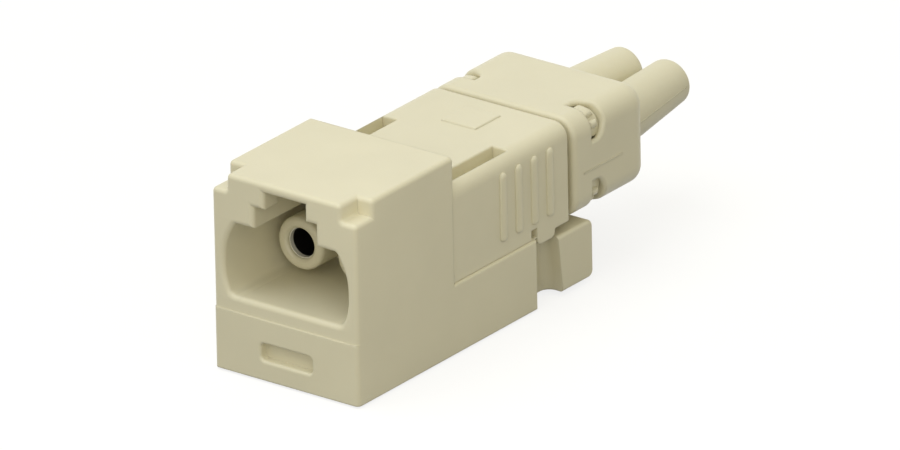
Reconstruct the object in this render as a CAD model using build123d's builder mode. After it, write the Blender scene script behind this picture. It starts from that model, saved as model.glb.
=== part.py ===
"""Duplex fibre optic jack module: a snap-in housing with a plug opening and a release lever, a rear jack
body with two spring-loaded ferrules, a rear cap and two cable boots. Millimetres, X to the right seen from
the front, Y backwards from the front face, Z up from the underside of the housing."""

import math
import os

from build123d import *

# Snap-in housing: the front block with the plug opening, and the two skirts behind it
housing_width = 14.6
housing_height = 17.3
block_depth = 13.0
skirt_end = 24.2
skirt_height = 6.05
skirt_wall = 1.5
block_round = 0.4
edge_round = 0.3
skirt_edge_round = 0.2
front_step_height = 5.3
front_step = 0.1
corner_notch_width = 1.52
corner_notch_depth = 2.4
corner_notch_height = 1.5
corner_notch_round = 0.25
front_wall = 2.3
lever_channel_height = 5.55
front_recess_width = 5.2
front_recess_base = 1.7
front_recess_height = 1.5
front_recess_depth = 0.8
front_recess_corner = 0.4
front_recess_rim = 0.25

# Plug opening in the front face
opening_jamb = 1.0
opening_base = 6.65
opening_drop = 4.3
opening_base_round = 1.3
opening_top_round = 0.6
ledge_half_width = 3.15
latch_slot_drop = 2.4
latch_slot_half_width = 2.08
latch_lip = 2.2
latch_lip_round = 0.2
roof_wall = 0.9
latch_depth = 9.5
mouth_round = 0.45

# Channels of the two fibres
channel_pitch = 6.0
channel_drop = 0.15

# Sleeve holder: a flange that closes the plug opening, with two tubes through it
holder_tube_radius = 2.3
holder_tube_front = 6.0
holder_tube_rear = 17.9
holder_flange_depth = 1.2
holder_flange_gap = 0.05
holder_flange_inset = 0.3
holder_flange_height = 6.3
holder_lip = 0.4
holder_lip_radius = 1.35
holder_rim_round = 0.4
holder_mouth_bevel = 0.2
holder_clearance = 0.08

# Split alignment sleeves
sleeve_outer_radius = 1.6
sleeve_wall = 0.33
sleeve_length = 11.4
sleeve_slit = 0.3
sleeve_clearance = 0.05

# Ferrules, their metal collars and the guide tubes behind them
ferrule_radius = 1.2495
ferrule_length = 10.5
ferrule_tip_cone = 0.4
ferrule_bore_radius = 0.15
collar_hex_radius = 2.05
collar_hex = 1.0
collar_cup_radius = 1.8
collar_cup = 3.8
collar_boss_radius = 1.15
collar_length = 4.9
collar_grip = 3.2
guide_radius = 0.8
guide_bore_radius = 0.5
guide_length = 9.0

# Springs
spring_wire_radius = 0.2
spring_mean_radius = 1.55
spring_wire_sides = 8
spring_turns = 4
seat_gap = 0.05

# Jack body
body_step = 0.2
body_drop = 2.6
body_rear = 28.95
body_gap = 0.05
body_edge_round = 1.3
body_spigot_depth = 0.8
web_front = 18.0
web_thickness = 0.8
web_bore_radius = 1.45
chamber_radius = 2.15
slot_margin = 0.8
slot_width = 1.45
slot_rear = 21.65
slot_depth = 1.6
slot_edge_round = 0.15
pad_width = 3.5
pad_front = 23.5
pad_depth = 3.4
pad_lift = 0.12
pad_round = 0.1
rib_count = 4
rib_front = 19.65
rib_width = 0.65
rib_pitch = 2.1
rib_margin = 1.4
rib_drop = 1.35
rib_lift = 0.2
rib_corner = 0.2
rib_slope = 0.45
foot_front = 24.5
foot_rear = 26.9
foot_hang = 0.7
foot_wall = 0.9
foot_round = 0.55
foot_notch_depth = 0.8
foot_notch_rise = 0.1
foot_notch_height = 0.8
foot_notch_cut = 0.7

# Neck behind the jack body, with the catches that hold the rear cap
neck_clearance = 0.25
neck_length = 4.5
catch_front = 32.0
catch_depth = 1.0
catch_sink = 0.2
catch_root = 0.4
catch_across = 2.3
catch_down = 1.75
catch_round = 0.3
catch_split = 0.3
catch_split_angle = 38

# Spring stops and crimp rings
stop_plug_length = 6.4
stop_plug_clearance = 0.04
stop_flange_radius = 2.55
stop_flange = 0.7
stop_bore_radius = 1.05
stop_tube_radius = 1.45
stop_tube_length = 3.9
stop_groove_count = 2
stop_groove_depth = 0.12
crimp_gap = 0.2
crimp_length = 3.4
crimp_clearance = 0.05
crimp_wall = 0.4

# Rear cap
cap_front_gap = 0.5
cap_rear = 39.3
cap_proud = 0.25
cap_rise = 0.0
cap_below = 3.8
cap_wall = 1.0
cap_rear_wall = 1.5
cap_corner = 1.8
cap_rear_round = 1.4
cap_lip_round = 0.45
cap_inner_corner = 0.7
cutout_front = 31.7
cutout_depth = 1.9
cutout_width = 3.1
cutout_round = 1.1
cutout_rim = 0.3
seam_lift = 0.05
seam_width = 0.14
seam_front = 30.6
seam_length = 5.2

# Cable boots
boot_radius = 2.45
boot_tip_radius = 2.0
boot_rear = 49.5
boot_tip_pitch = 4.5
boot_tip_rise = 0.45
boot_bore_radius = 1.1
boot_flange_radius = 2.85
boot_flange = 1.1
boot_wall_clearance = 0.06
boot_rim_round = 0.5
boot_socket_clearance = 0.06
boot_socket_depth = 2.0

# Release lever
lever_clearance = 0.2
lever_thickness = 1.2
lever_base = 0.2
lever_pivot_radius = 0.6
lever_pivot_gap = 0.1
lever_web_front = 20.8
lever_web_wall = 1.3
lever_web_flat = 1.7
lever_gap = 0.6
tab_front = 27.6
tab_lean = 0.55
tab_rear = 31.8
tab_edge_round = 0.6
tab_fillet = 0.9
catch_bar_front = 11.0
catch_bar_depth = 2.4
catch_bar_drop = 0.4

# Worked out from the sizes above
half_width = housing_width / 2
opening_width = housing_width - 2 * opening_jamb
opening_top = housing_height - opening_drop
latch_slot_top = housing_height - latch_slot_drop
latch_roof = housing_height - roof_wall
channel_height = (opening_base + opening_top) / 2 - channel_drop
holder_flange_width = opening_width - 2 * holder_flange_inset
body_width = housing_width - 2 * body_step
body_top = housing_height - body_drop
half_body = body_width / 2
slot_outer = half_body - slot_margin
slot_inner = slot_outer - slot_width
body_front = block_depth + body_gap
body_base = skirt_height + body_gap
foot_base = body_base - foot_hang
foot_notch_base = body_base + foot_notch_rise
foot_notch_top = foot_notch_base + foot_notch_height
rib_base = body_base + rib_margin
rib_top = body_top - rib_drop
cap_width = body_width + 2 * cap_proud
cap_top = body_top + cap_rise
cap_base = channel_height - cap_below
channel_x = channel_pitch / 2
sleeve_front = holder_tube_front + holder_lip
sleeve_bore_radius = sleeve_outer_radius - sleeve_wall
flange_front = body_front - body_spigot_depth - holder_flange_gap - holder_flange_depth
opening_depth = flange_front
web_rear = web_front + web_thickness
collar_front = web_rear + seat_gap
collar_cup_rear = collar_front + collar_cup
collar_rear = collar_front + collar_length
ferrule_rear = collar_front + collar_grip
ferrule_front = ferrule_rear - ferrule_length
neck_half_width = cap_width / 2 - cap_wall - neck_clearance
neck_base = cap_base + cap_wall + neck_clearance
neck_top = cap_top - cap_wall - neck_clearance
neck_rear = body_rear + neck_length
stop_front = neck_rear - stop_plug_length
stop_flange_rear = neck_rear + stop_flange
crimp_front = stop_flange_rear + crimp_gap
crimp_inner_radius = stop_tube_radius + crimp_clearance
crimp_radius = crimp_inner_radius + crimp_wall
guide_front = ferrule_rear
spring_front = collar_cup_rear + seat_gap
spring_length = stop_front - seat_gap - spring_front
cap_front = body_rear + cap_front_gap
cap_height = cap_top - cap_base
cap_middle = (cap_top + cap_base) / 2
cap_length = cap_rear - cap_front
catch_corner_x = cap_width / 2 - cap_corner
catch_corner_z = cap_top - cap_corner
boot_seat = cap_rear - cap_rear_wall
boot_front = boot_seat - boot_flange - boot_wall_clearance
boot_length = boot_rear - cap_rear
boot_tip_height = channel_height + boot_tip_rise
boot_socket_radius = crimp_radius + boot_socket_clearance
boot_hole_radius = boot_radius + boot_wall_clearance
lever_top = cap_base - lever_gap
lever_half_width = half_width - skirt_wall - lever_clearance
pivot_y = front_wall + lever_pivot_radius + lever_pivot_gap
pivot_z = lever_base + lever_thickness / 2
lever_web_rise = tab_front - lever_web_flat
tab_top_front = tab_front - tab_lean

os.makedirs("parts", exist_ok=True)


def across(y):
    """Plane that faces the front at depth y, with its x to the right and its y up."""
    return Plane(origin=(0, y, 0), x_dir=(1, 0, 0), z_dir=(0, -1, 0))


def channel_plane(side, y):
    """The plane across one channel at depth y; side is -1 for left and 1 for right."""
    return Plane(origin=(side * channel_x, y, channel_height), x_dir=(1, 0, 0), z_dir=(0, -1, 0))


def save(part, label):
    """Label a finished piece and write its file."""
    part.label = label
    export_step(part, f"parts/{label}.step")


def on_block_skin(edge):
    """Whether an edge lies on the upper block's outer faces: its front, its top or its sides."""
    middle = edge.center()
    beside = abs(abs(middle.X) - half_width) < 0.001
    above = abs(middle.Z - housing_height) < 0.001
    before = middle.Y < front_step + 0.001
    inside = middle.Y < block_depth - 0.001 and middle.Z > front_step_height + 0.001
    return inside and (beside or above or before)


def on_skirt_skin(edge):
    """Whether an edge bounds a skirt's outer side behind the block."""
    middle = edge.center()
    return abs(abs(middle.X) - half_width) < 0.001 and middle.Y > block_depth + 0.001


def on_mouth(edge):
    """Whether an edge is the rim of the plug opening or of the latch slot in the front face."""
    middle = edge.center()
    in_face = abs(middle.Y - front_step) < 0.001
    low = opening_base - 0.001 < middle.Z < opening_top + 0.001 and abs(middle.X) < opening_width / 2 + 0.001
    high = opening_top < middle.Z < latch_roof + 0.001 and abs(middle.X) < ledge_half_width + 0.001
    return in_face and (low or high)


def on_lip(edge):
    """Whether an edge is the inner rim of the lip in front of the latch slot's roof."""
    middle = edge.center()
    upright = abs(middle.Z - (latch_slot_top + latch_roof) / 2) < 0.001 and abs(middle.X) < ledge_half_width
    return abs(middle.Y - latch_lip) < 0.001 and upright


def on_recess_rim(edge):
    """Whether an edge is the rim of the blind recess in the lower front face."""
    middle = edge.center()
    inside = abs(middle.X) < front_recess_width / 2 + 0.01 and 0.5 * front_recess_base < middle.Z < front_step_height
    return abs(middle.Y) < 0.001 and inside and middle.Z < front_recess_base + front_recess_height + 0.01


# Sill of the housing: the lower part of its block, slightly proud of the face above
with BuildPart() as housing_sill:
    with BuildSketch(across(0)):
        Rectangle(housing_width, front_step_height, align=(Align.CENTER, Align.MIN))
    extrude(amount=-block_depth)
    fillet(housing_sill.edges().filter_by(Axis.Z).group_by(Axis.Y)[0], block_round)

# Snap-in housing
with BuildPart() as module_housing:
    with BuildSketch(across(front_step)):
        with Locations((0, front_step_height)):
            Rectangle(housing_width, housing_height - front_step_height, align=(Align.CENTER, Align.MIN))
    extrude(amount=front_step - block_depth)
    # fixed stops for the faceplate, in both upper front corners
    with BuildSketch(across(0)):
        with Locations((half_width, housing_height), (-half_width, housing_height)):
            RectangleRounded(2 * corner_notch_width, 2 * corner_notch_height, corner_notch_round)
    extrude(amount=-corner_notch_depth, mode=Mode.SUBTRACT)
    block_edges = module_housing.edges().filter_by(on_block_skin)
    fillet(block_edges, block_round)
    add(housing_sill.part)
    with BuildSketch(across(block_depth)):
        with Locations((0, skirt_height / 2)):
            Rectangle(housing_width, skirt_height)
    extrude(amount=block_depth - skirt_end)
    skirt_edges = module_housing.edges().filter_by(on_skirt_skin)
    fillet(skirt_edges, skirt_edge_round)
    # plug opening: a wide lower cavity and a latch slot above it
    with BuildSketch(across(0)) as opening:
        with Locations((0, (opening_base + opening_top) / 2)):
            Rectangle(opening_width, opening_top - opening_base)
        fillet(opening.vertices().group_by(Axis.Y)[0], opening_base_round)
        fillet(opening.vertices().group_by(Axis.Y)[-1], opening_top_round)
    extrude(amount=-opening_depth, mode=Mode.SUBTRACT)
    with BuildSketch(across(0)):
        with Locations((0, opening_top)):
            Rectangle(2 * ledge_half_width, latch_slot_top - opening_top, align=(Align.CENTER, Align.MIN))
        with Locations((0, latch_slot_top)):
            Rectangle(2 * latch_slot_half_width, latch_roof - latch_slot_top, align=(Align.CENTER, Align.MIN))
    extrude(amount=-latch_depth, mode=Mode.SUBTRACT)
    with BuildSketch(across(latch_lip)):
        with Locations((0, opening_top)):
            Rectangle(2 * ledge_half_width, latch_roof - opening_top, align=(Align.CENTER, Align.MIN))
    extrude(amount=latch_lip - latch_depth, mode=Mode.SUBTRACT)
    # pocket from behind for the sleeve holder's flange and the jack body's spigot
    with BuildSketch(across(flange_front)):
        with Locations((0, channel_height)):
            Rectangle(holder_flange_width + 2 * holder_clearance, holder_flange_height + 2 * holder_clearance)
    extrude(amount=flange_front - block_depth, mode=Mode.SUBTRACT)
    # channel for the release lever, open below and behind
    with BuildSketch(across(front_wall)):
        Rectangle(housing_width - 2 * skirt_wall, 2 * lever_channel_height)
    extrude(amount=front_wall - block_depth, mode=Mode.SUBTRACT)
    with BuildSketch(across(block_depth)):
        Rectangle(housing_width - 2 * skirt_wall, 4 * skirt_height)
    extrude(amount=block_depth - skirt_end, mode=Mode.SUBTRACT)
    fillet(module_housing.edges().filter_by(on_mouth), mouth_round)
    fillet(module_housing.edges().filter_by(on_lip), latch_lip_round)
    # blind recess in the lower front face
    with BuildSketch(across(0)) as recess:
        with Locations((0, front_recess_base + front_recess_height / 2)):
            Rectangle(front_recess_width, front_recess_height)
        fillet(recess.vertices(), front_recess_corner)
    extrude(amount=-front_recess_depth, mode=Mode.SUBTRACT)
    fillet(module_housing.edges().filter_by(on_recess_rim), front_recess_rim)
save(module_housing.part, "module_housing")

def in_web_corner(edge):
    """Whether an edge runs up the corner between a side web of the lever and the front of its tab."""
    middle = edge.center()
    beside = abs(abs(middle.X) - lever_half_width) < 0.001
    return beside and tab_top_front < middle.Y < tab_front and edge.length > (lever_top - lever_base) / 2


# Release lever: a flexing strip with side webs, a thumb tab and a faceplate catch
with BuildPart() as release_lever:
    with BuildSketch(Plane.YZ.offset(-lever_half_width)):
        with Locations((pivot_y, lever_base)):
            Rectangle(tab_front - pivot_y, lever_thickness, align=Align.MIN)
        with Locations((pivot_y, pivot_z)):
            Circle(lever_pivot_radius)
        with BuildLine():
            Polyline(
                (lever_web_front, lever_base),
                (tab_front, lever_base),
                (tab_front, lever_top),
                (lever_web_rise, lever_top),
                (lever_web_front, lever_base + lever_thickness),
                close=True,
            )
        make_face()
        with BuildLine():
            Polyline(
                (catch_bar_front, lever_base),
                (catch_bar_front + catch_bar_depth, lever_base),
                (catch_bar_front + catch_bar_depth, lever_base - catch_bar_drop),
                (catch_bar_front + catch_bar_depth / 2, lever_base - catch_bar_drop),
                close=True,
            )
        make_face()
    extrude(amount=2 * lever_half_width)
    # the thumb tab across the whole width, its front leaning forwards at the top
    with BuildSketch(Plane.YZ.offset(-half_width)):
        with BuildLine():
            Polyline(
                (tab_front, lever_base),
                (tab_rear, lever_base),
                (tab_rear, lever_top),
                (tab_top_front, lever_top),
                close=True,
            )
        make_face()
    extrude(amount=housing_width)
    # hollow corners where the webs run into the tab
    web_corners = release_lever.edges().filter_by(in_web_corner)
    fillet(web_corners, tab_fillet)
    # tray between the webs
    with BuildSketch(Plane.XY.offset(lever_base + lever_thickness)):
        with Locations((0, tab_front)):
            Rectangle(2 * (lever_half_width - lever_web_wall), tab_front, align=(Align.CENTER, Align.MAX))
    extrude(amount=lever_top, mode=Mode.SUBTRACT)
    rear_edges = release_lever.edges().filter_by(Axis.X).group_by(Axis.Y)[-1]
    fillet(rear_edges, tab_edge_round)
    side_edges = release_lever.edges().filter_by(Axis.Z).group_by(Axis.X)
    fillet(side_edges[0] + side_edges[-1], edge_round)
save(release_lever.part, "release_lever")


def on_slot_rim(edge):
    """Whether an edge is the rim of a slot in the jack body's top."""
    middle = edge.center()
    beside = slot_inner - 0.001 < abs(middle.X) < slot_outer + 0.001
    return abs(middle.Z - body_top) < 0.001 and beside and body_front + 0.001 < middle.Y < slot_rear + 0.001


def on_catch_skin(edge):
    """Whether an edge bounds the outer face of a catch, apart from the seam where its rounding begins."""
    middle = edge.center()
    reach = math.hypot(max(middle.X - catch_corner_x, 0), max(middle.Z - catch_corner_z, 0))
    seam = abs(middle.X - catch_corner_x) < 0.001
    return abs(reach - cap_corner + catch_sink) < 0.001 and not seam


def on_rib_foot(edge):
    """Whether an edge is a lower corner of a side rib."""
    middle = edge.center()
    return abs(middle.Z - rib_base) < 0.001 and abs(abs(middle.X) - half_body - rib_lift / 2) < 0.001


# Catches at the corners of the neck, which show in the rear cap's windows: beads that follow the corner
with BuildPart() as cap_catches:
    with BuildSketch(across(catch_front)):
        with Locations((0, cap_middle)):
            RectangleRounded(cap_width - 2 * catch_sink, cap_height - 2 * catch_sink, cap_corner - catch_sink)
        with Locations((cap_width / 2, cap_top)):
            Rectangle(catch_across, catch_down, align=(Align.MAX, Align.MAX), mode=Mode.INTERSECT)
        with Locations((0, cap_middle)):
            Rectangle(
                2 * (neck_half_width - catch_root),
                neck_top - neck_base - 2 * catch_root,
                mode=Mode.SUBTRACT,
            )
        with Locations(Location((catch_corner_x, catch_corner_z, 0), (0, 0, catch_split_angle))):
            Rectangle(cap_corner, catch_split, align=(Align.MIN, Align.CENTER), mode=Mode.SUBTRACT)
    extrude(amount=-catch_depth)
    fillet(cap_catches.edges().filter_by(on_catch_skin), catch_round)
    mirror(about=Plane.YZ)
    mirror(about=Plane.XY.offset(cap_middle))

# Jack body
with BuildPart() as jack_body:
    with BuildSketch(across(body_front)) as body_section:
        with Locations((0, (body_top + body_base) / 2)):
            Rectangle(body_width, body_top - body_base)
        fillet(body_section.vertices().group_by(Axis.Y)[-1], body_edge_round)
    extrude(amount=body_front - body_rear)
    fillet(jack_body.faces().sort_by(Axis.Y)[-1].edges(), edge_round)
    # spigot in the housing and neck in the cap
    with BuildSketch(across(body_front - body_spigot_depth)):
        with Locations((0, channel_height)):
            Rectangle(holder_flange_width, holder_flange_height)
    extrude(amount=-body_spigot_depth)
    with BuildSketch(across(body_rear)) as neck_section:
        with Locations((0, (neck_base + neck_top) / 2)):
            Rectangle(2 * neck_half_width, neck_top - neck_base)
        fillet(neck_section.vertices(), edge_round)
    extrude(amount=-neck_length)
    # feet beside the lever, hanging behind the housing's skirts
    with BuildSketch(Plane.YZ.offset(-half_body)) as foot_side:
        with Locations((foot_front, foot_base)):
            Rectangle(foot_rear - foot_front, body_base - foot_base + foot_round, align=Align.MIN)
        fillet(foot_side.vertices().group_by(Axis.Y)[0], foot_round)
    extrude(amount=foot_wall)
    mirror(about=Plane.YZ)
    # slots that free the snap tongue on top
    with BuildSketch(Plane.XY.offset(body_top)):
        with Locations(
            ((slot_inner + slot_outer) / 2, body_front),
            (-(slot_inner + slot_outer) / 2, body_front),
        ):
            Rectangle(slot_width, slot_rear - body_front, align=(Align.CENTER, Align.MIN))
    extrude(amount=-slot_depth, mode=Mode.SUBTRACT)
    fillet(jack_body.edges().filter_by(on_slot_rim), slot_edge_round)
    # blank label pad
    with BuildSketch(Plane.XY.offset(body_top)):
        with Locations((0, pad_front)):
            Rectangle(pad_width, pad_depth, align=(Align.CENTER, Align.MIN))
    extrude(amount=pad_lift)
    fillet(jack_body.faces().sort_by(Axis.Z)[-1].edges(), pad_round)
    # side ribs for the fingers, rounded below and sloping into the side at the top
    for side in (-1, 1):
        for i in range(rib_count):
            with BuildSketch(across(rib_front + i * rib_pitch)):
                with BuildLine():
                    Polyline(
                        (side * half_body, rib_base),
                        (side * (half_body + rib_lift), rib_base),
                        (side * (half_body + rib_lift), rib_top - rib_slope),
                        (side * half_body, rib_top),
                        close=True,
                    )
                make_face()
            extrude(amount=-rib_width)
    fillet(jack_body.edges().filter_by(on_rib_foot), rib_corner)
    # small pocket in each side in front of the foot
    with BuildSketch(Plane.YZ.offset(-half_body)):
        with Locations((foot_front, foot_notch_base)):
            Rectangle(foot_notch_depth, foot_notch_top - foot_notch_base, align=(Align.MAX, Align.MIN))
    extrude(amount=foot_notch_cut, mode=Mode.SUBTRACT)
    with BuildSketch(Plane.YZ.offset(half_body)):
        with Locations((foot_front, foot_notch_base)):
            Rectangle(foot_notch_depth, foot_notch_top - foot_notch_base, align=(Align.MAX, Align.MIN))
    extrude(amount=-foot_notch_cut, mode=Mode.SUBTRACT)
    add(cap_catches.part)
    # bores for the sleeve holder's tubes, the ferrules and their collars
    for side in (-1, 1):
        with BuildSketch(channel_plane(side, body_front - body_spigot_depth)):
            Circle(holder_tube_radius + holder_clearance)
        extrude(amount=body_front - body_spigot_depth - web_front, mode=Mode.SUBTRACT)
        with BuildSketch(channel_plane(side, web_front)):
            Circle(web_bore_radius)
        extrude(amount=-web_thickness, mode=Mode.SUBTRACT)
        with BuildSketch(channel_plane(side, web_rear)):
            Circle(chamber_radius)
        extrude(amount=web_rear - neck_rear, mode=Mode.SUBTRACT)
save(jack_body.part, "jack_body")

# Sleeve holder
with BuildPart() as sleeve_holder:
    with BuildSketch(across(flange_front)):
        with Locations((0, channel_height)):
            Rectangle(holder_flange_width, holder_flange_height)
    extrude(amount=-holder_flange_depth)
    with BuildSketch(across(holder_tube_front)):
        with Locations((-channel_x, channel_height), (channel_x, channel_height)):
            Circle(holder_tube_radius)
    extrude(amount=holder_tube_front - holder_tube_rear)
    with BuildSketch(across(holder_tube_front)):
        with Locations((-channel_x, channel_height), (channel_x, channel_height)):
            Circle(holder_lip_radius)
    extrude(amount=-holder_lip, mode=Mode.SUBTRACT)
    with BuildSketch(across(sleeve_front)):
        with Locations((-channel_x, channel_height), (channel_x, channel_height)):
            Circle(sleeve_outer_radius + sleeve_clearance)
    extrude(amount=sleeve_front - holder_tube_rear, mode=Mode.SUBTRACT)
    tube_rims = sleeve_holder.edges().filter_by(GeomType.CIRCLE).group_by(Axis.Y)[0].group_by(SortBy.RADIUS)
    fillet(tube_rims[-1], holder_rim_round)
    chamfer(tube_rims[0], holder_mouth_bevel)
save(sleeve_holder.part, "sleeve_holder")

# Split alignment sleeves, slit along the top
for side, name in ((-1, "left"), (1, "right")):
    with BuildPart() as split_sleeve:
        with BuildSketch(channel_plane(side, sleeve_front)):
            Circle(sleeve_outer_radius)
            Circle(sleeve_bore_radius, mode=Mode.SUBTRACT)
            Rectangle(sleeve_slit, 2 * sleeve_outer_radius, align=(Align.CENTER, Align.MIN), mode=Mode.SUBTRACT)
        extrude(amount=-sleeve_length)
    save(split_sleeve.part, f"split_sleeve_{name}")

# Ferrules, with a cone at the tip and a fine bore for the glass fibre
for side, name in ((-1, "left"), (1, "right")):
    with BuildPart() as ferrule:
        with BuildSketch(channel_plane(side, ferrule_front)):
            Circle(ferrule_radius)
            Circle(ferrule_bore_radius, mode=Mode.SUBTRACT)
        extrude(amount=-ferrule_length)
        tip = ferrule.edges().filter_by(GeomType.CIRCLE).group_by(Axis.Y)[0].sort_by(SortBy.RADIUS)[-1]
        chamfer(tip, ferrule_tip_cone)
    save(ferrule.part, f"ferrule_{name}")

# Metal collars that grip the ferrules and carry the springs
for side, name in ((-1, "left"), (1, "right")):
    with BuildPart() as collar:
        with BuildSketch(channel_plane(side, collar_front)):
            RegularPolygon(collar_hex_radius, 6)
        extrude(amount=-collar_hex)
        with BuildSketch(channel_plane(side, collar_front)):
            Circle(collar_cup_radius)
        extrude(amount=-collar_cup)
        with BuildSketch(channel_plane(side, collar_cup_rear)):
            Circle(collar_boss_radius)
        extrude(amount=collar_cup_rear - collar_rear)
        with BuildSketch(channel_plane(side, collar_front)):
            Circle(ferrule_radius)
        extrude(amount=-collar_grip, mode=Mode.SUBTRACT)
        with BuildSketch(channel_plane(side, ferrule_rear)):
            Circle(guide_radius)
        extrude(amount=ferrule_rear - collar_rear, mode=Mode.SUBTRACT)
    save(collar.part, f"ferrule_collar_{name}")

# Guide tubes that lead each fibre through its spring
for side, name in ((-1, "left"), (1, "right")):
    with BuildPart() as guide:
        with BuildSketch(channel_plane(side, guide_front)):
            Circle(guide_radius)
            Circle(guide_bore_radius, mode=Mode.SUBTRACT)
        extrude(amount=-guide_length)
    save(guide.part, f"guide_tube_{name}")

# Springs
for side, name in ((-1, "left"), (1, "right")):
    with BuildPart() as spring:
        with BuildLine() as coil:
            Helix(
                pitch=(spring_length - 2 * spring_wire_radius) / spring_turns,
                height=spring_length - 2 * spring_wire_radius,
                radius=spring_mean_radius,
                center=(side * channel_x, spring_front + spring_wire_radius, channel_height),
                direction=(0, 1, 0),
            )
        with BuildSketch(Plane(origin=coil.line @ 0, z_dir=coil.line % 0)):
            RegularPolygon(spring_wire_radius, spring_wire_sides)
        sweep(path=coil.line, is_frenet=True)
    save(spring.part, f"spring_{name}")

# Spring stops: a plug in the jack body, a flange, and a grooved tube for the cord's jacket
for side, name in ((-1, "left"), (1, "right")):
    with BuildPart() as stop:
        with BuildSketch(channel_plane(side, stop_front)):
            Circle(chamber_radius - stop_plug_clearance)
        extrude(amount=-stop_plug_length)
        with BuildSketch(channel_plane(side, neck_rear)):
            Circle(stop_flange_radius)
        extrude(amount=-stop_flange)
        with BuildSketch(channel_plane(side, stop_flange_rear)):
            Circle(stop_tube_radius)
        extrude(amount=-stop_tube_length)
        groove_pitch = stop_tube_length / (stop_groove_count + 1)
        for i in range(stop_groove_count):
            with BuildSketch(channel_plane(side, stop_flange_rear + (i + 0.75) * groove_pitch)):
                Circle(stop_tube_radius)
                Circle(stop_tube_radius - stop_groove_depth, mode=Mode.SUBTRACT)
            extrude(amount=-groove_pitch / 2, mode=Mode.SUBTRACT)
        with BuildSketch(channel_plane(side, stop_front)):
            Circle(stop_bore_radius)
        extrude(amount=-(stop_plug_length + stop_flange + stop_tube_length), mode=Mode.SUBTRACT)
    save(stop.part, f"spring_stop_{name}")

# Crimp rings
for side, name in ((-1, "left"), (1, "right")):
    with BuildPart() as crimp:
        with BuildSketch(channel_plane(side, crimp_front)):
            Circle(crimp_radius)
            Circle(crimp_inner_radius, mode=Mode.SUBTRACT)
        extrude(amount=-crimp_length)
    save(crimp.part, f"crimp_ring_{name}")


def on_window_rim(edge):
    """Whether an edge is the outer rim of a corner window in the rear cap, behind its straight front side."""
    middle = edge.center()
    across_rim = Vector(abs(middle.X), 0, abs(middle.Z - cap_middle)) - Vector(cap_width / 2, 0, cap_height / 2)
    inward = -(across_rim.X + across_rim.Z) / math.sqrt(2)
    corner_gap = cap_corner * (math.sqrt(2) - 1)
    return cutout_front + 0.05 < middle.Y < cap_front + cap_length / 2 and inward < corner_gap + cap_wall / 2


# Rear cap: a deep shell with rounded corners, windows for the catches and holes for the boots
with BuildPart() as rear_cap:
    with BuildSketch(across(cap_front)) as cap_section:
        with Locations((0, cap_middle)):
            Rectangle(cap_width, cap_height)
        fillet(cap_section.vertices(), cap_corner)
    extrude(amount=-cap_length)
    fillet(rear_cap.faces().sort_by(Axis.Y)[-1].edges(), cap_rear_round)
    fillet(rear_cap.faces().sort_by(Axis.Y)[0].edges(), cap_lip_round)
    with BuildSketch(across(cap_front)) as cavity:
        with Locations((0, cap_middle)):
            Rectangle(cap_width - 2 * cap_wall, cap_height - 2 * cap_wall)
        fillet(cavity.vertices(), cap_inner_corner)
    extrude(amount=cap_rear_wall - cap_length, mode=Mode.SUBTRACT)
    for side in (-1, 1):
        with BuildSketch(channel_plane(side, cap_front)):
            Circle(boot_hole_radius)
        extrude(amount=-cap_length, mode=Mode.SUBTRACT)
        for rise in (-1, 1):
            corner = (side * cap_width / 2, cutout_front, cap_middle + rise * cap_height / 2)
            rearward = side * rise
            with BuildSketch(Plane(origin=corner, x_dir=(side, 0, -rise), z_dir=(side, 0, rise))) as window:
                with Locations((0, rearward * cutout_depth / 2)):
                    Rectangle(cutout_width, cutout_depth)
                fillet(window.vertices().sort_by(Axis.Y, reverse=rearward > 0)[:2], cutout_round)
            extrude(amount=-cap_wall - cap_corner, mode=Mode.SUBTRACT)
    fillet(rear_cap.edges().filter_by(on_window_rim), cutout_rim)
    # raised mould parting line on both sides
    with BuildSketch(Plane.YZ.offset(-cap_width / 2 - seam_lift)):
        with Locations((seam_front, channel_height)):
            Rectangle(seam_length, seam_width, align=(Align.MIN, Align.CENTER))
    extrude(amount=seam_lift)
    mirror(about=Plane.YZ)
save(rear_cap.part, "rear_cap")

# Cable boots: a flange held inside the cap and a tapered sleeve that leans towards its neighbour
for side, name in ((-1, "left"), (1, "right")):
    base = Vector(side * channel_x, cap_rear, channel_height)
    tip = Vector(side * boot_tip_pitch / 2, boot_rear, boot_tip_height)
    lean = Plane(origin=tip, x_dir=(1, 0, 0), z_dir=(tip - base).normalized())
    with BuildPart() as boot:
        with BuildSketch(channel_plane(side, boot_front)):
            Circle(boot_flange_radius)
        extrude(amount=-boot_flange)
        with BuildSketch(channel_plane(side, boot_front)):
            Circle(boot_radius)
        extrude(amount=boot_front - cap_rear)
        with BuildSketch(channel_plane(side, cap_rear)):
            Circle(boot_radius)
        with BuildSketch(lean):
            Circle(boot_tip_radius)
        loft()
        fillet(boot.edges().filter_by(GeomType.CIRCLE).sort_by(Axis.Y)[-1], boot_rim_round)
        with BuildSketch(channel_plane(side, boot_front)):
            Circle(boot_socket_radius)
        extrude(amount=-boot_socket_depth, mode=Mode.SUBTRACT)
        with BuildSketch(lean):
            Circle(boot_bore_radius)
        extrude(amount=-2 * boot_length, mode=Mode.SUBTRACT)
    save(boot.part, f"boot_{name}")
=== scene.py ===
"""Looks of a duplex fibre optic jack module: finishes of its moulded, ceramic and metal parts, and the fine
moulded details that its solids leave out, in a plain studio."""

import logging
import math
from dataclasses import dataclass
from enum import Enum

import bmesh
import bpy
import numpy as np
from mathutils import Matrix, Vector


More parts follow.
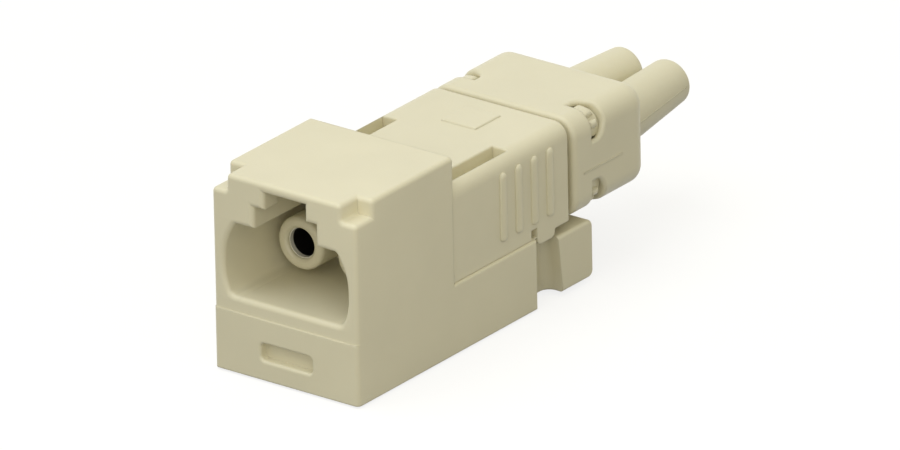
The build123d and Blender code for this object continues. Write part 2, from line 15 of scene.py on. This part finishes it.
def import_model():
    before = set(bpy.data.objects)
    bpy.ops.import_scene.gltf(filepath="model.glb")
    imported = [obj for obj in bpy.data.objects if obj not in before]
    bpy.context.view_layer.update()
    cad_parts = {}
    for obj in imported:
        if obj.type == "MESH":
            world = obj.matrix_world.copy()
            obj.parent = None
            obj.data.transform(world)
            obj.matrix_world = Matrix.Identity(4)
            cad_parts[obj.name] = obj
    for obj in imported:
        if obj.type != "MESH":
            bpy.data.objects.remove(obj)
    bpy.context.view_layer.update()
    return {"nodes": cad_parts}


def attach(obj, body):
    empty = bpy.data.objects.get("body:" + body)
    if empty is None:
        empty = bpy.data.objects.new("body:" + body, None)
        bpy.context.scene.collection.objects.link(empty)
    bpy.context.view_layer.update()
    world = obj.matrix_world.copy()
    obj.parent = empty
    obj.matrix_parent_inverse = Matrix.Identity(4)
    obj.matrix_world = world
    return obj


LOG = logging.getLogger("jack_module")
MM = 0.001
SIDES = ("left", "right")
WHITE = (1.0, 1.0, 1.0, 1.0)
SHARP_EDGE = 50.0  # degrees between faces, above which an edge isn't shaded smooth
RADIANS_PER_UNIT = 20.0  # how far a wave texture of scale 1 turns in one unit

Colour = tuple[float, float, float]
Place = tuple[float, float, float]


class Grain(Enum):
    """How the surface of a moulding was finished in its mould."""

    SPARK = "fine even spark finish"
    SATIN = "softer satin finish"
    POLISHED = "polished tool"


@dataclass(frozen=True)
class Texture:
    """Scales and depths of a moulded surface's relief, in metres."""

    grain_size: float
    grain_depth: float
    wave_size: float
    wave_depth: float


TEXTURES = {
    Grain.SPARK: Texture(0.00009, 0.0000035, 0.0035, 0.000012),
    Grain.SATIN: Texture(0.00014, 0.0000025, 0.0045, 0.000015),
    Grain.POLISHED: Texture(0.0003, 0.0000006, 0.006, 0.000004),
}


def new_nodes(name: str) -> tuple[bpy.types.Material, bpy.types.NodeTree, bpy.types.Node]:
    """Make a node material.

    Args:
        name: The material's name.

    Returns:
        The material, its node tree and its principled shader.
    """
    material = bpy.data.materials.new(name)
    material.use_nodes = True
    tree = material.node_tree
    return material, tree, tree.nodes["Principled BSDF"]


def noise(tree: bpy.types.NodeTree, size: float, detail: float, roughness: float = 0.5) -> bpy.types.Node:
    """Add a noise whose features are about `size` metres across, read in Object coordinates.

    Args:
        tree: The node tree to add to.
        size: Feature size in metres.
        detail: Octaves of finer noise.
        roughness: Share that each octave keeps.

    Returns:
        The noise node.
    """
    place = tree.nodes.new("ShaderNodeTexCoord")
    cloud = tree.nodes.new("ShaderNodeTexNoise")
    cloud.inputs["Scale"].default_value = 1.0 / size
    cloud.inputs["Detail"].default_value = detail
    cloud.inputs["Roughness"].default_value = roughness
    tree.links.new(place.outputs["Object"], cloud.inputs["Vector"])
    return cloud


def relief(tree: bpy.types.NodeTree, height: bpy.types.NodeSocket, depth: float,
           under: bpy.types.NodeSocket | None = None) -> bpy.types.NodeSocket:
    """Turn a height between 0 and 1 into a bumped normal.

    Args:
        tree: The node tree to add to.
        height: The socket that gives the height.
        depth: Real depth of the relief in metres.
        under: Normal of a relief that this one lies on.

    Returns:
        The socket with the new normal.
    """
    bump = tree.nodes.new("ShaderNodeBump")
    bump.inputs["Strength"].default_value = 1.0
    bump.inputs["Distance"].default_value = depth
    tree.links.new(height, bump.inputs["Height"])
    if under is not None:
        tree.links.new(under, bump.inputs["Normal"])
    return bump.outputs["Normal"]


def ramp(tree: bpy.types.NodeTree, factor: bpy.types.NodeSocket, low: Colour, high: Colour,
         span: tuple[float, float] = (0.3, 0.7)) -> bpy.types.NodeSocket:
    """Blend two colours by a factor.

    Args:
        tree: The node tree to add to.
        factor: The socket that gives the factor.
        low: Colour at the start of the span.
        high: Colour at its end.
        span: Factors at which the blend starts and ends.

    Returns:
        The socket with the colour.
    """
    band = tree.nodes.new("ShaderNodeValToRGB")
    band.color_ramp.elements[0].position, band.color_ramp.elements[1].position = span
    band.color_ramp.elements[0].color = (*low, 1.0)
    band.color_ramp.elements[1].color = (*high, 1.0)
    tree.links.new(factor, band.inputs["Fac"])
    return band.outputs["Color"]


@dataclass(frozen=True)
class IvoryPlastic:
    """Satin ivory moulding: faint flow marks in its colour, a fine mould grain, slow waves and soft edges."""

    name: str
    colour: Colour = (0.755, 0.715, 0.56)
    mottle: float = 0.02
    roughness: float = 0.42
    grain: Grain = Grain.SPARK
    bleed: float = 0.04
    bleed_radius: Colour = (1.0, 0.8, 0.5)
    bleed_scale: float = 0.0006
    edge: float = 0.00018
    flow_size: float = 0.006
    shade_size: float = 0.0012
    shade_range: float = 0.05
    index: float = 1.5

    def material(self) -> bpy.types.Material:
        """Build the material.

        The softened edge lies under the waves, and the waves under the grain, as bumps on each other.

        Returns:
            The material.
        """
        material, tree, shader = new_nodes(self.name)
        texture = TEXTURES[self.grain]
        flow = noise(tree, self.flow_size, 3.0)
        light = tuple(c * (1 + self.mottle) for c in self.colour)
        dark = tuple(c * (1 - self.mottle) for c in self.colour)
        tree.links.new(ramp(tree, flow.outputs["Fac"], dark, light), shader.inputs["Base Color"])
        shade = noise(tree, self.shade_size, 2.0)
        spread = tree.nodes.new("ShaderNodeMapRange")
        spread.inputs["To Min"].default_value = self.roughness - self.shade_range
        spread.inputs["To Max"].default_value = self.roughness + self.shade_range
        tree.links.new(shade.outputs["Fac"], spread.inputs["Value"])
        tree.links.new(spread.outputs["Result"], shader.inputs["Roughness"])
        shader.inputs["IOR"].default_value = self.index
        shader.inputs["Subsurface Weight"].default_value = self.bleed
        shader.inputs["Subsurface Radius"].default_value = self.bleed_radius
        shader.inputs["Subsurface Scale"].default_value = self.bleed_scale
        soft = tree.nodes.new("ShaderNodeBevel")
        soft.inputs["Radius"].default_value = self.edge
        swell = noise(tree, texture.wave_size, 1.0)
        waves = relief(tree, swell.outputs["Fac"], texture.wave_depth, soft.outputs["Normal"])
        pits = noise(tree, texture.grain_size, 2.0)
        surface = relief(tree, pits.outputs["Fac"], texture.grain_depth, waves)
        tree.links.new(surface, shader.inputs["Normal"])
        return material


@dataclass(frozen=True)
class TurnedMetal:
    """Metal with fine rings from turning or drawing, which run round the fibre direction."""

    name: str
    colour: Colour
    roughness: float
    ring_pitch: float = 0.000377
    ring_depth: float = 0.0000015
    ring_waver: float = 1.5
    tarnish_size: float = 0.0012
    tarnish: float = 0.12

    def material(self) -> bpy.types.Material:
        """Build the material.

        Returns:
            The material.
        """
        material, tree, shader = new_nodes(self.name)
        place = tree.nodes.new("ShaderNodeTexCoord")
        rings = tree.nodes.new("ShaderNodeTexWave")
        rings.bands_direction = "Y"
        rings.inputs["Scale"].default_value = 2 * math.pi / (self.ring_pitch * RADIANS_PER_UNIT)
        rings.inputs["Distortion"].default_value = self.ring_waver
        tree.links.new(place.outputs["Object"], rings.inputs["Vector"])
        tree.links.new(relief(tree, rings.outputs["Fac"], self.ring_depth), shader.inputs["Normal"])
        patches = noise(tree, self.tarnish_size, 3.0)
        dull = tuple(c * (1 - self.tarnish) for c in self.colour)
        tree.links.new(ramp(tree, patches.outputs["Fac"], dull, self.colour), shader.inputs["Base Color"])
        shader.inputs["Metallic"].default_value = 1.0
        shader.inputs["Roughness"].default_value = self.roughness
        return material


@dataclass(frozen=True)
class SleeveStrip:
    """Bronze strip of the split sleeves: bright on the front edge, near black inside the bore, where the
    colour is painted shade.
    """

    name: str
    bright: Colour = (0.9, 0.88, 0.82)
    # dark is painted shade: a near-black colour that stands for the shade deep inside the bore
    dark: Colour = (0.012, 0.011, 0.01)
    bright_end: float = 0.00676
    painted_shade_start: float = 0.00684
    metallic: float = 0.3
    roughness: float = 0.35
    streak_size: float = 0.0002
    streak_depth: float = 0.000001

    def material(self) -> bpy.types.Material:
        """Build the material, whose colour changes by the depth along the fibre, from the bright front edge
        to painted shade inside the bore.

        Returns:
            The material.
        """
        material, tree, shader = new_nodes(self.name)
        place = tree.nodes.new("ShaderNodeTexCoord")
        along = tree.nodes.new("ShaderNodeSeparateXYZ")
        tree.links.new(place.outputs["Object"], along.inputs["Vector"])
        depth = tree.nodes.new("ShaderNodeMapRange")
        depth.inputs["From Min"].default_value = self.bright_end
        depth.inputs["From Max"].default_value = self.painted_shade_start
        tree.links.new(along.outputs["Y"], depth.inputs["Value"])
        # the bright front edge, then painted shade, near black, inside the bore
        colour = ramp(tree, depth.outputs["Result"], self.bright, self.dark, (0.0, 1.0))
        tree.links.new(colour, shader.inputs["Base Color"])
        streaks = noise(tree, self.streak_size, 2.0)
        tree.links.new(relief(tree, streaks.outputs["Fac"], self.streak_depth), shader.inputs["Normal"])
        shader.inputs["Metallic"].default_value = self.metallic
        shader.inputs["Roughness"].default_value = self.roughness
        return material


@dataclass(frozen=True)
class PolishedCeramic:
    """Dense white ceramic, polished, with a faint cloudiness."""

    name: str
    colour: Colour = (0.86, 0.85, 0.82)
    cloud_size: float = 0.002
    cloud_shade: float = 0.04
    roughness: float = 0.12
    index: float = 2.1

    def material(self) -> bpy.types.Material:
        """Build the material.

        Returns:
            The material.
        """
        material, tree, shader = new_nodes(self.name)
        cloud = noise(tree, self.cloud_size, 2.0)
        dark = tuple(c * (1 - self.cloud_shade) for c in self.colour)
        tree.links.new(ramp(tree, cloud.outputs["Fac"], dark, self.colour), shader.inputs["Base Color"])
        shader.inputs["Roughness"].default_value = self.roughness
        shader.inputs["IOR"].default_value = self.index
        return material


def dress(node: bpy.types.Object, material: bpy.types.Material) -> None:
    """Give every material slot of a node one material.

    Args:
        node: The node's object.
        material: The material for it.
    """
    if not node.material_slots:
        node.data.materials.append(material)
    for place in node.material_slots:
        place.material = material


def skin(rings: np.ndarray) -> tuple[np.ndarray, list[tuple[int, ...]]]:
    """Join a row of closed rings into a closed shell.

    Each ring is joined to the next by quads, and a fan round the middle of the ring closes either end.

    Args:
        rings: Points as an array of rings, points of a ring, and coordinates.

    Returns:
        The shell's points and its faces.
    """
    rows, count, _ = rings.shape
    grid = np.arange(rows * count).reshape(rows, count)
    ahead = np.roll(grid, -1, axis=1)
    quads = np.stack([grid[:-1], ahead[:-1], ahead[1:], grid[1:]], -1).reshape(-1, 4)
    first, last = rows * count, rows * count + 1
    start = np.stack([ahead[0], grid[0], np.full(count, first)], -1)
    end = np.stack([grid[-1], ahead[-1], np.full(count, last)], -1)
    points = np.concatenate([rings.reshape(-1, 3), rings[:1].mean(1), rings[-1:].mean(1)])
    return points, [tuple(f) for part in (quads, start, end) for f in part.tolist()]


def mirrored(shells: list[np.ndarray], axis: int, about: float = 0.0) -> list[np.ndarray]:
    """Return the shells' rings with their mirror images, whose rings run the other way round.

    Args:
        shells: Arrays of rings.
        axis: Coordinate that changes sign.
        about: Where the mirror plane crosses that axis.

    Returns:
        The shells and their images.
    """
    images = []
    for rings in shells:
        image = rings[:, ::-1].copy()
        image[..., axis] = 2 * about - image[..., axis]
        images.append(image)
    return shells + images


def piece(name: str, shells: list[np.ndarray], material: bpy.types.Material) -> None:
    """Make one piece of closed shells that rides on the jack.

    Args:
        name: The piece's name.
        shells: Arrays of rings in millimetres.
        material: Its material.
    """
    points, faces, start = [], [], 0
    for rings in shells:
        own, around = skin(rings)
        points.append(own)
        faces += [tuple(i + start for i in face) for face in around]
        start += len(own)
    mesh = bpy.data.meshes.new(name)
    mesh.from_pydata((np.concatenate(points) * MM).tolist(), [], faces)
    body = bmesh.new()
    body.from_mesh(mesh)
    bmesh.ops.recalc_face_normals(body, faces=body.faces)
    body.to_mesh(mesh)
    body.free()
    mesh.polygons.foreach_set("use_smooth", [True] * len(mesh.polygons))
    mesh.set_sharp_from_angle(angle=math.radians(SHARP_EDGE))
    mesh.materials.append(material)
    new = bpy.data.objects.new(name, mesh)
    bpy.context.scene.collection.objects.link(new)
    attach(new, "jack")
    LOG.info("made %s with %d faces", name, len(faces))


def run_to(start: np.ndarray, slope: np.ndarray, limit: float) -> np.ndarray:
    """Return how far each point runs before its coordinate comes to a limit: (limit - start) / slope.

    Args:
        start: The coordinate at the start of the runs.
        slope: How fast it grows along them.
        limit: Where they end.

    Returns:
        The lengths of the runs, infinite where the coordinate doesn't grow.
    """
    tiny = 1e-6
    return np.where(slope > tiny, (limit - start) / np.maximum(slope, tiny), np.inf)


@dataclass
class Mouldings:
    """The ivory mouldings: housing, lever, jack body, sleeve holder, cap and boots."""

    nodes: dict[str, bpy.types.Object]
    hard: IvoryPlastic = IvoryPlastic("ivory_housing")
    body: IvoryPlastic = IvoryPlastic("ivory_body", roughness=0.4)
    soft: IvoryPlastic = IvoryPlastic("ivory_boot", roughness=0.5, grain=Grain.SATIN, bleed=0.08)
    plain: IvoryPlastic = IvoryPlastic("ivory_details", edge=0.0)

    def build(self) -> None:
        """Dress the mouldings and add their fine forms."""
        hard, body, soft = self.hard.material(), self.body.material(), self.soft.material()
        for name in ("module_housing", "release_lever"):
            dress(self.nodes[name], hard)
        for name in ("jack_body", "sleeve_holder", "rear_cap"):
            dress(self.nodes[name], body)
        for side in SIDES:
            dress(self.nodes[f"boot_{side}"], soft)
        plain = self.plain.material()
        for detail in (
            OpeningLining(plain),
            SkirtJoints(plain),
            FingerRibs(body),
            CatchSeats(body),
            BootSeams(soft),
        ):
            detail.build()


@dataclass
class OpeningLining:
    """The bowed side walls of the plug opening, which are widest at mid height and narrow above and below."""

    material: bpy.types.Material
    wall: float = 6.3
    top: float = 13.0
    base: float = 6.65
    top_round: float = 0.6
    base_round: float = 1.3
    bow_radius: float = 6.0
    bow_height: float = 9.45
    corner: float = 0.45
    top_start: float = 4.5
    base_end: float = 4.7
    front: float = 0.1
    back: float = 10.95
    rim: float = 0.45
    lift: float = 0.012
    front_lift: float = 0.005
    overlap: float = 0.04
    sharpness: float = 14.0

    def outline(self) -> np.ndarray:
        """Return the right wall's line in the XZ plane, from the ledge down to the floor of the opening.

        Its half width at a height is the soft minimum of a circle of the bow's radius and the rounded corners
        of the plain opening: minus the log of the sum of exp(-k x), over k. Under the ledge a small circle
        that touches the ledge and the bow from inside takes over where it meets the bow.

        Returns:
            Points of the line, as x and z.
        """
        turn = np.linspace(0.0, math.pi, 61)
        middle, half = (self.top + self.base) / 2, (self.top - self.base) / 2 - self.lift
        z = middle + half * np.cos(turn)
        bow = self.wall - self.bow_radius + np.sqrt(self.bow_radius**2 - (z - self.bow_height) ** 2)
        plain = np.full_like(z, self.wall)
        for radius, centre, above in (
            (self.top_round, self.top - self.top_round, True),
            (self.base_round, self.base + self.base_round, False),
        ):
            beyond = np.where(above, np.maximum(z - centre, 0.0), np.maximum(centre - z, 0.0))
            plain = np.minimum(plain, self.wall - radius + np.sqrt(radius**2 - beyond**2))
        total = np.exp(-self.sharpness * bow) + np.exp(-self.sharpness * plain)
        x = -np.log(total) / self.sharpness - self.lift
        share = self.corner / self.bow_radius
        low = self.top - self.corner
        meet = (low - share * self.bow_height) / (1 - share)
        reach = math.sqrt((self.bow_radius - self.corner) ** 2 - (low - self.bow_height) ** 2)
        under = np.clip(z - low, 0.0, self.corner)
        ledge = self.wall - self.bow_radius + reach + np.sqrt(self.corner**2 - under**2) - self.lift
        x = np.where(z > meet, ledge, x)
        ends = np.array([[self.top_start, z[0]], [self.base_end, z[-1]]])
        return np.concatenate([ends[:1], np.stack([x, z], -1), ends[1:]])

    def rings(self) -> np.ndarray:
        """Return the lining's rings: at each point of the outline, a profile from the back over the rim.

        The profile runs forward along the wall, over a quarter circle of the rim's radius, flat along the
        front to where the plain opening's rim ends, and back inside the wall.

        Returns:
            The rings.
        """
        line = self.outline()
        along = np.gradient(line, axis=0)
        along /= np.linalg.norm(along, axis=1, keepdims=True)
        out = np.stack([-along[:, 1], along[:, 0]], -1)
        angle = np.linspace(0.0, math.pi / 2, 8)
        offset = np.concatenate([[0.0], self.rim * (1 - np.cos(angle))])
        face = self.front - self.front_lift
        depth = np.concatenate([[self.back], face + self.rim * (1 - np.sin(angle))])
        flat = line[:, None] + offset[None, :, None] * out[:, None]
        margin = self.rim + self.overlap
        edge = line + self.rim * out
        reach_side = run_to(edge[:, 0], out[:, 0], self.wall + margin)
        reach_up = run_to(edge[:, 1], out[:, 1], self.top + margin)
        reach_down = run_to(-edge[:, 1], -out[:, 1], margin - self.base)
        border = edge + np.minimum(np.minimum(reach_side, reach_up), reach_down)[:, None] * out
        points = np.concatenate([flat, border[:, None], border[:, None]], axis=1)
        depths = np.concatenate([depth, [face, self.back]])
        rows = len(line)
        return np.stack([points[..., 0], np.broadcast_to(depths, (rows, len(depths))), points[..., 1]], -1)

    def build(self) -> None:
        """Make the two side walls as one piece."""
        piece("opening_side_walls", mirrored([self.rings()], 0), self.material)


@dataclass
class SkirtJoints:
    """Beads on which the jack body sits on the housing's skirts, flush with its sides."""

    material: bpy.types.Material
    side: float = 7.085
    width: float = 0.3
    low: float = 6.035
    high: float = 6.115
    front: float = 13.06
    back: float = 24.19

    def rings(self) -> np.ndarray:
        """Return the right bead's rings: a bar with a half round outer side, carried along Y.

        Returns:
            The rings.
        """
        turn = np.linspace(-math.pi / 2, math.pi / 2, 7)
        half = (self.high - self.low) / 2
        inner = self.side - self.width
        x = np.append(self.side - half + half * np.cos(turn), [inner, inner])
        z = np.append(self.low + half + half * np.sin(turn), [self.high, self.low])
        y = np.linspace(self.front, self.back, 9)[:, None]
        shape = (len(y), len(x))
        return np.stack([np.broadcast_to(x, shape), np.broadcast_to(y, shape), np.broadcast_to(z, shape)], -1)

    def build(self) -> None:
        """Make both beads as one piece."""
        piece("skirt_joints", mirrored([self.rings()], 0), self.material)


@dataclass
class FingerRibs:
    """Rounded crowns of the four finger ribs on each side of the jack body."""

    material: bpy.types.Material
    count: int = 4
    front: float = 19.975
    pitch: float = 2.1
    side: float = 7.1
    low: float = 7.42
    high: float = 13.48
    half_width: float = 0.43
    height: float = 0.29
    low_end: float = 0.3
    high_end: float = 0.5
    sink: float = 0.12
    end_share: float = 0.995

    def crown(self, middle: float) -> np.ndarray:
        """Return one crown's rings: half ellipses whose size falls off as a quarter ellipse at either end.

        Args:
            middle: Where the crown's middle lies along Y.

        Returns:
            The rings, packed closer towards the ends.
        """
        t = np.sin(np.linspace(-math.pi / 2, math.pi / 2, 33)) * self.end_share
        z = (self.low + self.high) / 2 + t * (self.high - self.low) / 2
        down = np.clip((self.low + self.low_end - z) / self.low_end, 0.0, 1.0)
        up = np.clip((z - self.high + self.high_end) / self.high_end, 0.0, 1.0)
        size = np.sqrt(1.0 - np.maximum(down, up) ** 2)[:, None]
        turn = np.linspace(0.0, 2 * math.pi, 24, endpoint=False)[None]
        lift = np.where(np.cos(turn) > 0.0, self.height, self.sink) * np.cos(turn)
        x = self.side + lift * size
        y = middle + self.half_width * np.sin(turn) * size
        return np.stack([x, y, np.broadcast_to(z[:, None], x.shape)], -1)

    def build(self) -> None:
        """Make the crowns of both sides as one piece."""
        crowns = [self.crown(self.front + i * self.pitch) for i in range(self.count)]
        piece("finger_rib_crowns", mirrored(crowns, 0), self.material)


@dataclass
class CatchSeats:
    """Webs under the catches, seen as the bottoms of the rear cap's four corner windows."""

    material: bpy.types.Material
    front: float = 31.85
    back: float = 33.5
    side: float = 6.8
    top: float = 14.15
    round_radius: float = 1.3
    across: float = 1.9
    down: float = 2.0
    thickness: float = 0.75
    edge: float = 0.2
    middle: float = 10.2875

    def rings(self) -> np.ndarray:
        """Return the upper right web's rings: a rounded bar's section carried round the cap's corner.

        The path is a straight run, a quarter circle and a straight run in the XZ plane.

        Returns:
            The rings.
        """
        centre = np.array([self.side - self.round_radius, self.top - self.round_radius])
        turn = np.linspace(math.pi / 2, 0.0, 13)
        arc = centre + self.round_radius * np.stack([np.cos(turn), np.sin(turn)], -1)
        inner, lower = [self.side - self.across, self.top], [self.side, self.top - self.down]
        path = np.concatenate([[inner], arc, [lower]])
        arms = np.stack([np.cos(turn), np.sin(turn)], -1)
        out = np.concatenate([[[0.0, 1.0]], arms, [[1.0, 0.0]]])
        quarter = np.linspace(0.0, math.pi / 2, 4)
        inset, drop = self.edge * (1 - np.sin(quarter)), -self.edge * (1 - np.cos(quarter))
        near = np.stack([self.front + inset, drop], -1)
        far = np.stack([self.back - inset, drop], -1)
        under = [[self.back, -self.thickness], [self.front, -self.thickness]]
        section = np.concatenate([near[::-1], far, under])
        flat = path[:, None] + section[None, :, 1, None] * out[:, None]
        y = np.broadcast_to(section[None, :, 0], flat.shape[:2])
        return np.stack([flat[..., 0], y, flat[..., 1]], -1)

    def build(self) -> None:
        """Make the four webs as one piece."""
        webs = mirrored(mirrored([self.rings()], 0), 2, self.middle)
        piece("catch_seats", webs, self.material)


@dataclass
class BootSeams:
    """Parting lines along the outer sides of the two boots."""

    material: bpy.types.Material
    base: Place = (3.0, 39.3, 9.675)
    tip: Place = (2.25, 49.5, 10.125)
    base_radius: float = 2.45
    tip_radius: float = 2.0
    start: float = 0.03
    end: float = 0.93
    half_width: float = 0.07
    height: float = 0.045
    angle: float = 4.0
    fade_power: int = 8
    fade: float = 0.98

    def rings(self) -> np.ndarray:
        """Return the right boot's line: a low half round carried straight along the boot's cone.

        Its size keeps full over most of the way and falls off at either end, as the root of 1 - fade s^n,
        where s runs from -1 to 1 along the line.

        Returns:
            The rings.
        """
        base, tip = np.array(self.base), np.array(self.tip)
        t = np.linspace(self.start, self.end, 21)
        axis = (tip - base) / np.linalg.norm(tip - base)
        across = np.cross(axis, [0.0, 0.0, 1.0])
        across /= np.linalg.norm(across)
        rise = np.cross(across, axis)
        lean = math.radians(self.angle)
        out = math.cos(lean) * across + math.sin(lean) * rise
        beside = math.cos(lean) * rise - math.sin(lean) * across
        along = np.abs(2 * (t - t.mean()) / np.ptp(t))
        size = np.sqrt(1.0 - along**self.fade_power * self.fade)[:, None, None]
        radius = self.base_radius + (self.tip_radius - self.base_radius) * t
        centre = (base + (tip - base) * t[:, None] + radius[:, None] * out)[:, None]
        turn = np.linspace(0.0, 2 * math.pi, 10, endpoint=False)[None, :, None]
        return centre + size * (self.height * np.cos(turn) * out + self.half_width * np.sin(turn) * beside)

    def build(self) -> None:
        """Make both lines as one piece."""
        piece("boot_seams", mirrored([self.rings()], 0), self.material)


@dataclass
class FibreChannels:
    """What lies along the fibres: sleeves, ferrules, collars, guide tubes, springs, stops and crimp rings."""

    nodes: dict[str, bpy.types.Object]
    sleeve: SleeveStrip = SleeveStrip("bronze_strip")
    collar: TurnedMetal = TurnedMetal("nickel_plate", (0.72, 0.71, 0.68), 0.28)
    wire: TurnedMetal = TurnedMetal("spring_wire", (0.55, 0.55, 0.56), 0.25)
    crimp: TurnedMetal = TurnedMetal("crimp_aluminium", (0.8, 0.8, 0.81), 0.35)
    ceramic: PolishedCeramic = PolishedCeramic("white_ceramic")
    stop: IvoryPlastic = IvoryPlastic("stop_plastic", colour=(0.65, 0.65, 0.62), roughness=0.38)
    guide: IvoryPlastic = IvoryPlastic(
        "guide_tubing", colour=(0.8, 0.8, 0.76), roughness=0.3, grain=Grain.POLISHED
    )

    def build(self) -> None:
        """Dress the pieces of both channels."""
        finishes = {
            "split_sleeve": self.sleeve.material(),
            "ferrule": self.ceramic.material(),
            "ferrule_collar": self.collar.material(),
            "guide_tube": self.guide.material(),
            "spring": self.wire.material(),
            "spring_stop": self.stop.material(),
            "crimp_ring": self.crimp.material(),
        }
        for part, material in finishes.items():
            for side in SIDES:
                dress(self.nodes[f"{part}_{side}"], material)


def seen_rays(tree: bpy.types.NodeTree) -> bpy.types.NodeSocket:
    """Tell rays that show a surface or the world from rays that light it.

    Args:
        tree: The node tree to add to.

    Returns:
        A socket that is 1 for rays from the camera, from gloss and through clear material, else 0.
    """
    path = tree.nodes.new("ShaderNodeLightPath")
    seen = path.outputs["Is Camera Ray"]
    for name in ("Is Glossy Ray", "Is Transmission Ray"):
        either = tree.nodes.new("ShaderNodeMath")
        either.operation = "MAXIMUM"
        tree.links.new(seen, either.inputs[0])
        tree.links.new(path.outputs[name], either.inputs[1])
        seen = either.outputs[0]
    return seen


@dataclass
class Studio:
    """White sweep, soft overhead light and the camera of the photograph's view."""

    azimuth: float = 37.434
    elevation: float = 23.365
    roll: float = -1.174
    distance: float = 1.6
    target: Place = (0.009276, 0.0100, 0.01294)
    lens: float = 794.33
    sensor: float = 36.0
    clip: tuple[float, float] = (0.01, 200.0)
    floor_size: float = 60.0
    floor_height: float = -0.0002
    floor_colour: Colour = (0.24, 0.24, 0.24)
    floor_glow: float = 0.8
    sky: Colour = (1.0, 0.95, 0.735)
    sky_strength: float = 0.65
    key: Colour = (0.89, 0.945, 1.0)
    key_strength: float = 1.1
    key_angle: float = 50.0
    key_place: Place = (0.0, 0.0, 0.1)
    key_aim: Place = (0.25, 0.28, -1.0)
    box: Colour = (1.0, 0.96, 0.85)
    box_power: float = 0.0098
    box_size: float = 0.045
    box_place: Place = (0.04, -0.045, 0.04)
    box_target: Place = (0.0, 0.008, 0.01)

    def camera(self) -> None:
        """Place the camera: looking at the target, turned by azimuth, raised by elevation, then rolled."""
        data = bpy.data.cameras.new("camera")
        data.lens = self.lens
        data.sensor_width = self.sensor
        data.clip_start, data.clip_end = self.clip
        eye = bpy.data.objects.new("camera", data)
        bpy.context.scene.collection.objects.link(eye)
        a, e, r = (math.radians(v) for v in (self.azimuth, self.elevation, self.roll))
        back = Vector((math.sin(a) * math.cos(e), -math.cos(a) * math.cos(e), math.sin(e)))
        level = Vector((math.cos(a), math.sin(a), 0.0))
        upright = back.cross(level)
        right = math.cos(r) * level + math.sin(r) * upright
        up = -math.sin(r) * level + math.cos(r) * upright
        turn = Matrix((right, up, back)).transposed().to_4x4()
        eye.matrix_world = Matrix.Translation(Vector(self.target) + back * self.distance) @ turn
        bpy.context.scene.camera = eye

    def floor(self) -> None:
        """Lay a wide pale floor that shows the object's shadow and otherwise looks white."""
        half = self.floor_size / 2
        u = np.linspace(-half, half, 3)
        x, y = np.meshgrid(u, u)
        points = np.stack([x, y, np.full_like(x, self.floor_height)], -1).reshape(-1, 3)
        corner = np.array([0, 1, 3, 4])
        faces = (corner[:, None] + np.array([0, 1, 4, 3])).tolist()
        mesh = bpy.data.meshes.new("floor")
        mesh.from_pydata(points.tolist(), [], faces)
        ground = bpy.data.objects.new("floor", mesh)
        bpy.context.scene.collection.objects.link(ground)
        material, tree, shader = new_nodes("floor_white")
        tree.nodes.remove(shader)
        out = tree.nodes["Material Output"]
        lit = tree.nodes.new("ShaderNodeBsdfDiffuse")
        lit.inputs["Color"].default_value = (*self.floor_colour, 1.0)
        glow = tree.nodes.new("ShaderNodeEmission")
        glow.inputs["Color"].default_value = WHITE
        scale = tree.nodes.new("ShaderNodeMath")
        scale.operation = "MULTIPLY"
        scale.inputs[1].default_value = self.floor_glow
        tree.links.new(seen_rays(tree), scale.inputs[0])
        tree.links.new(scale.outputs[0], glow.inputs["Strength"])
        both = tree.nodes.new("ShaderNodeAddShader")
        tree.links.new(lit.outputs[0], both.inputs[0])
        tree.links.new(glow.outputs[0], both.inputs[1])
        tree.links.new(both.outputs[0], out.inputs["Surface"])
        mesh.materials.append(material)

    def light(self) -> None:
        """Light the object: an even warm sky, seen as white, a broad cool lamp above and a small soft box."""
        world = bpy.data.worlds.new("studio")
        bpy.context.scene.world = world
        world.use_nodes = True
        tree = world.node_tree
        tree.nodes.clear()
        out = tree.nodes.new("ShaderNodeOutputWorld")
        even = tree.nodes.new("ShaderNodeBackground")
        even.inputs["Color"].default_value = (*self.sky, 1.0)
        even.inputs["Strength"].default_value = self.sky_strength
        white = tree.nodes.new("ShaderNodeBackground")
        white.inputs["Color"].default_value = WHITE
        mix = tree.nodes.new("ShaderNodeMixShader")
        tree.links.new(seen_rays(tree), mix.inputs["Fac"])
        tree.links.new(even.outputs[0], mix.inputs[1])
        tree.links.new(white.outputs[0], mix.inputs[2])
        tree.links.new(mix.outputs[0], out.inputs["Surface"])
        sun = bpy.data.lights.new("overhead", "SUN")
        sun.energy = self.key_strength
        sun.color = self.key
        sun.angle = math.radians(self.key_angle)
        self.lamp(sun, self.key_place, Vector(self.key_aim))
        near = bpy.data.lights.new("soft_box", "AREA")
        near.energy = self.box_power
        near.color = self.box
        near.size = self.box_size
        soft_box = self.lamp(near, self.box_place, Vector(self.box_target) - Vector(self.box_place))
        soft_box.visible_camera = False

    def lamp(self, data: bpy.types.Light, place: Place, aim: Vector) -> bpy.types.Object:
        """Put a lamp in the studio.

        Args:
            data: The light.
            place: Where it stands.
            aim: The direction in which it shines.

        Returns:
            The lamp's object.
        """
        lamp = bpy.data.objects.new(data.name, data)
        lamp.location = place
        lamp.rotation_mode = "QUATERNION"
        lamp.rotation_quaternion = aim.to_track_quat("-Z", "Y")
        bpy.context.scene.collection.objects.link(lamp)
        return lamp

    def build(self) -> None:
        """Set up the floor, the light and the camera."""
        self.floor()
        self.light()
        self.camera()
        bpy.context.scene.view_settings.view_transform = "Standard"


def main() -> None:
    """Load the frame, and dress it."""
    logging.basicConfig(level=logging.INFO, format="%(message)s")
    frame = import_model()
    for part in (Mouldings(frame["nodes"]), FibreChannels(frame["nodes"]), Studio()):
        part.build()
        LOG.info("built %s", type(part).__name__)


if __name__ == "__main__":
    main()
